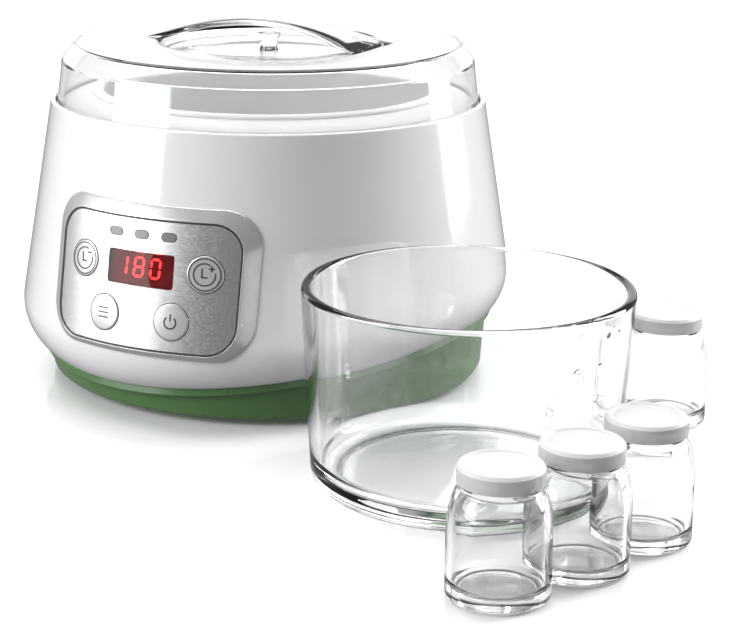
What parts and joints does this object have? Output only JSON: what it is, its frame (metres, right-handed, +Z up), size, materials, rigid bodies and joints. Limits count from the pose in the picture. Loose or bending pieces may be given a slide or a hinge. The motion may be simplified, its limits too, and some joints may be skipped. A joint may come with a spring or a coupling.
{
  "type": "yogurt maker",
  "caption": "Round electric yogurt maker with a flared shell, clear domed lid with a bar handle, front display and buttons, glass bowl and capped glass jars.",
  "frame": {"origin": "on the table under the machine's vertical axis, level with the undersides of the feet", "axes": "+Z up; the control panel faces -Y; the bowl and jars stand towards +X and -Y"},
  "size_m": [0.3617, 0.3335, 0.1618],
  "materials": {
    "white_shell": "high-gloss injection-moulded white",
    "white_inner": "satin white food-grade plastic",
    "warm_aluminium": "bead-blasted anodised",
    "mica": "pressed mica sheet",
    "steel": "zinc-plated steel",
    "sensor_metal": "turned cup",
    "ceramic": "glazed ceramic",
    "silver_frame": "silver-white metallic paint",
    "brushed_face": "fine brushed face plate",
    "display_lens": "smoked red lens",
    "black_plastic": "moulded black",
    "led_red": "lit red segments",
    "indicator_grey": "smoked grey lenses",
    "button_silver": "satin silver with dark printed icons",
    "circuit_board": "green solder mask",
    "green_base": "satin leaf green",
    "green_under": "fine-textured leaf green",
    "rubber_foot": "black moulded rubber",
    "transformer_core": "yellow tape and dark core",
    "relay_blue": "moulded blue",
    "capacitor_blue": "sleeved",
    "terminal_green": "moulded green",
    "red_lead": "silicone insulation",
    "ribbon_grey": "flat grey ribbon",
    "clear_plastic": "clear polished plastic",
    "bowl_glass": "clear pressed glass",
    "jar_glass": "clear moulded glass",
    "milky_cap": "milky translucent plastic"
  },
  "bodies": {
    "machine": {"outer_shell": "white_shell", "top_ring": "white_inner", "cavity_liner": "white_inner", "heater_plate": "warm_aluminium", "heater_ring": "mica", "heater_clamp": "steel", "clamp_screws": "steel", "ntc_sensor": "sensor_metal", "sensor_spring": "steel", "thermal_fuse": "ceramic", "panel_bezel": "silver_frame", "panel_plate": "brushed_face", "display_window": "display_lens", "display_module": "black_plastic", "display_digits": "led_red", "indicator_lenses": "indicator_grey", "tact_switches": "black_plastic", "control_board": "circuit_board", "buzzer": "black_plastic", "panel_screws": "steel", "base_skirt": "green_base", "bottom_plate": "green_under", "feet": "rubber_foot", "cover_screws": "steel", "power_board": "circuit_board", "transformer": "transformer_core", "relay": "relay_blue", "capacitors": "capacitor_blue", "terminal_block": "terminal_green", "board_screws": "steel", "wiring": "red_lead", "ribbon_cable": "ribbon_grey", "mains_inlet": "black_plastic", "inlet_pins": "steel"},
    "lid": {"lid": "clear_plastic", "lid_handle": "clear_plastic", "lid_knob": "clear_plastic"},
    "bowl": {"bowl": "bowl_glass"},
    "button_minus": {"button_minus": "button_silver"},
    "button_plus": {"button_plus": "button_silver"},
    "button_function": {"button_function": "button_silver"},
    "button_power": {"button_power": "button_silver"},
    "jar_1": {"jar_1": "jar_glass"},
    "jar_cap_1": {"jar_cap_1": "milky_cap"},
    "jar_2": {"jar_2": "jar_glass"},
    "jar_cap_2": {"jar_cap_2": "milky_cap"},
    "jar_3": {"jar_3": "jar_glass"},
    "jar_cap_3": {"jar_cap_3": "milky_cap"},
    "jar_4": {"jar_4": "jar_glass"},
    "jar_cap_4": {"jar_cap_4": "milky_cap"}
  },
  "joints": [
    {"name": "lid_lift", "type": "slide", "parent": "machine", "child": "lid", "axis": [0, 0, 1], "range_m": [0, 0.12]},
    {"name": "button_minus_press", "type": "slide", "parent": "machine", "child": "button_minus", "axis": [0, 0.9867, -0.1628], "range_m": [0, 0.0007], "stiffness_N_per_m": 500},
    {"name": "button_plus_press", "type": "slide", "parent": "machine", "child": "button_plus", "axis": [0, 0.9867, -0.1628], "range_m": [0, 0.0007], "stiffness_N_per_m": 500},
    {"name": "button_function_press", "type": "slide", "parent": "machine", "child": "button_function", "axis": [0, 0.9867, -0.1628], "range_m": [0, 0.0007], "stiffness_N_per_m": 500},
    {"name": "button_power_press", "type": "slide", "parent": "machine", "child": "button_power", "axis": [0, 0.9867, -0.1628], "range_m": [0, 0.0007], "stiffness_N_per_m": 500},
    {"name": "bowl_lift", "type": "slide", "parent": "machine", "child": "bowl", "axis": [0, 0, 1], "range_m": [0, 0.12]},
    {"name": "jar_1_lift", "type": "slide", "parent": "machine", "child": "jar_1", "axis": [0, 0, 1], "range_m": [0, 0.1]},
    {"name": "jar_2_lift", "type": "slide", "parent": "machine", "child": "jar_2", "axis": [0, 0, 1], "range_m": [0, 0.1]},
    {"name": "jar_3_lift", "type": "slide", "parent": "machine", "child": "jar_3", "axis": [0, 0, 1], "range_m": [0, 0.1]},
    {"name": "jar_4_lift", "type": "slide", "parent": "machine", "child": "jar_4", "axis": [0, 0, 1], "range_m": [0, 0.1]},
    {"name": "jar_cap_1_pull", "type": "slide", "parent": "jar_1", "child": "jar_cap_1", "axis": [0, 0, 1], "range_m": [0, 0.03]},
    {"name": "jar_cap_2_pull", "type": "slide", "parent": "jar_2", "child": "jar_cap_2", "axis": [0, 0, 1], "range_m": [0, 0.03]},
    {"name": "jar_cap_3_pull", "type": "slide", "parent": "jar_3", "child": "jar_cap_3", "axis": [0, 0, 1], "range_m": [0, 0.03]},
    {"name": "jar_cap_4_pull", "type": "slide", "parent": "jar_4", "child": "jar_cap_4", "axis": [0, 0, 1], "range_m": [0, 0.03]}
  ]
}
